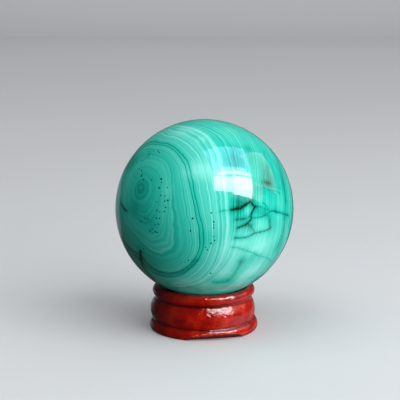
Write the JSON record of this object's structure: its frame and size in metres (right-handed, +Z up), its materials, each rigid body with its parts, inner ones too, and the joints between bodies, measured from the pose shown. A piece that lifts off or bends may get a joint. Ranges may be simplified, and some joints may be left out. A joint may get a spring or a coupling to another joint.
{
  "type": "decorative sphere",
  "caption": "Polished malachite sphere with concentric green banding, resting loose on a small turned ring stand of red-lacquered wood.",
  "frame": {"origin": "straight below the centre of the sphere, at the stand's underside", "axes": "+Z up, along the bore that the sphere rests on; -Y is the front, with the flat shaved off the flange 12.6 degrees round from it towards +X"},
  "size_m": [0.05, 0.05, 0.0594],
  "materials": {
    "malachite": "polished, banded green",
    "lacquered_wood": "glossy red lacquer"
  },
  "bodies": {
    "root": {"malachite_sphere": "malachite", "ring_stand": "lacquered_wood"}
  },
  "joints": []
}
